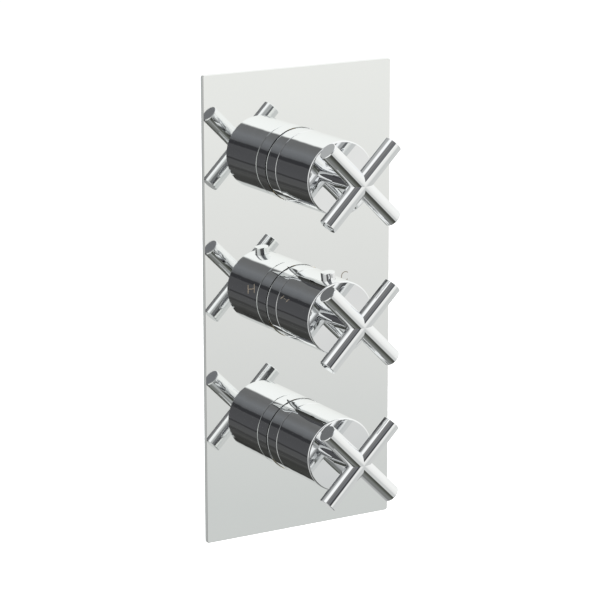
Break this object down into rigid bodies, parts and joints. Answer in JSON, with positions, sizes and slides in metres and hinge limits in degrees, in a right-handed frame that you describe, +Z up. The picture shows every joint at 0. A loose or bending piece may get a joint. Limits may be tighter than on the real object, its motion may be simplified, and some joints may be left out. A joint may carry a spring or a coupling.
{
  "type": "thermostatic shower valve",
  "caption": "Concealed thermostatic shower valve: a tall chrome cover plate with a column of cross-head handles on barrels, on a brass manifold with side inlets and end outlets.",
  "frame": {"origin": "centre of the four wall-fixing holes, on the plane that the feet of the manifold bear on", "axes": "+Z up, -Y towards the person using it, +X to that person's right"},
  "size_m": [0.135, 0.1437, 0.3],
  "materials": {
    "chrome": "mirror-polished chromium plate",
    "cast_brass": "sand-cast brass with a fine grain",
    "turned_brass": "turned brass with fine tool rings",
    "steel": "drawn stainless steel",
    "copper": "drawn copper alloy",
    "rubber": "black moulded rubber",
    "foam": "closed-cell foam strip",
    "ceramic": "lapped alumina",
    "pale_plastic": "moulded acetal",
    "dark_plastic": "moulded glass-filled nylon"
  },
  "bodies": {
    "valve": {"face_plate": "chrome", "plate_seal": "foam", "sleeve_o_rings": "rubber", "valve_body": "cast_brass", "bonnet_o_rings": "rubber", "top_sleeve": "chrome", "top_bonnet": "turned_brass", "top_seat_seal": "rubber", "top_fixed_disc": "ceramic", "bottom_sleeve": "chrome", "bottom_bonnet": "turned_brass", "bottom_seat_seal": "rubber", "bottom_fixed_disc": "ceramic", "temp_sleeve": "chrome", "temp_cartridge_housing": "turned_brass", "temp_cartridge_o_rings": "rubber", "temp_spring_seat": "turned_brass", "temp_return_spring": "steel", "temp_stop_sleeve": "pale_plastic", "hot_strainer": "steel", "hot_check_housing": "pale_plastic", "hot_check_spring": "steel", "cold_strainer": "steel", "cold_check_housing": "pale_plastic", "cold_check_spring": "steel"},
    "top_handle": {"top_turning_disc": "ceramic", "top_spindle": "turned_brass", "top_spindle_o_rings": "rubber", "top_circlip": "steel", "top_extension": "turned_brass", "top_spline_bush": "pale_plastic", "top_barrel": "chrome", "top_grub_screw": "steel", "top_cross_head": "chrome"},
    "bottom_handle": {"bottom_turning_disc": "ceramic", "bottom_spindle": "turned_brass", "bottom_spindle_o_rings": "rubber", "bottom_circlip": "steel", "bottom_extension": "turned_brass", "bottom_spline_bush": "pale_plastic", "bottom_barrel": "chrome", "bottom_grub_screw": "steel", "bottom_cross_head": "chrome"},
    "temp_handle": {"temp_spindle": "turned_brass", "temp_spindle_o_ring": "rubber", "temp_extension": "turned_brass", "temp_spline_bush": "pale_plastic", "temp_barrel": "chrome", "temp_grub_screw": "steel", "temp_cross_head": "chrome", "temp_button_spring": "steel"},
    "button": {"temp_override_button": "chrome"},
    "adjuster": {"temp_slider": "dark_plastic", "temp_overload_spring": "steel", "temp_wax_pin": "steel"},
    "thermostat": {"temp_shuttle": "dark_plastic", "temp_wax_element": "copper"},
    "hot_poppet": {"hot_check_poppet": "dark_plastic"},
    "cold_poppet": {"cold_check_poppet": "dark_plastic"}
  },
  "joints": [
    {"name": "top_flow_turn", "type": "hinge", "parent": "valve", "child": "top_handle", "pos_m": [0, 0, 0.088], "axis": [0, -1, 0], "range_deg": [0, 90]},
    {"name": "bottom_flow_turn", "type": "hinge", "parent": "valve", "child": "bottom_handle", "pos_m": [0, 0, -0.088], "axis": [0, -1, 0], "range_deg": [0, 90]},
    {"name": "temperature_turn", "type": "hinge", "parent": "valve", "child": "temp_handle", "pos_m": [0, 0, 0], "axis": [0, -1, 0], "range_deg": [-74, 62]},
    {"name": "override_press", "type": "slide", "parent": "temp_handle", "child": "button", "axis": [0.1219, 0, -0.9925], "range_m": [0, 0.0025], "stiffness_N_per_m": 900, "springref_m": -0.001, "deforming": ["temp_button_spring"]},
    {"name": "adjuster_slide", "type": "slide", "parent": "valve", "child": "adjuster", "axis": [0, 1, 0], "range_m": [-0.00063, 0.00053]},
    {"name": "wax_stroke", "type": "slide", "parent": "adjuster", "child": "thermostat", "axis": [0, 1, 0], "range_m": [-0.0005, 0.0005], "stiffness_N_per_m": 2500, "deforming": ["temp_return_spring"]},
    {"name": "hot_check_lift", "type": "slide", "parent": "valve", "child": "hot_poppet", "axis": [1, 0, 0], "range_m": [0, 0.002], "stiffness_N_per_m": 60, "springref_m": -0.001, "deforming": ["hot_check_spring"]},
    {"name": "cold_check_lift", "type": "slide", "parent": "valve", "child": "cold_poppet", "axis": [-1, 0, 0], "range_m": [0, 0.002], "stiffness_N_per_m": 60, "springref_m": -0.001, "deforming": ["cold_check_spring"]}
  ],
  "couplings": [
    {"joint": "adjuster_slide", "follows": "temperature_turn", "m_per_rad": 0.00047746}
  ]
}
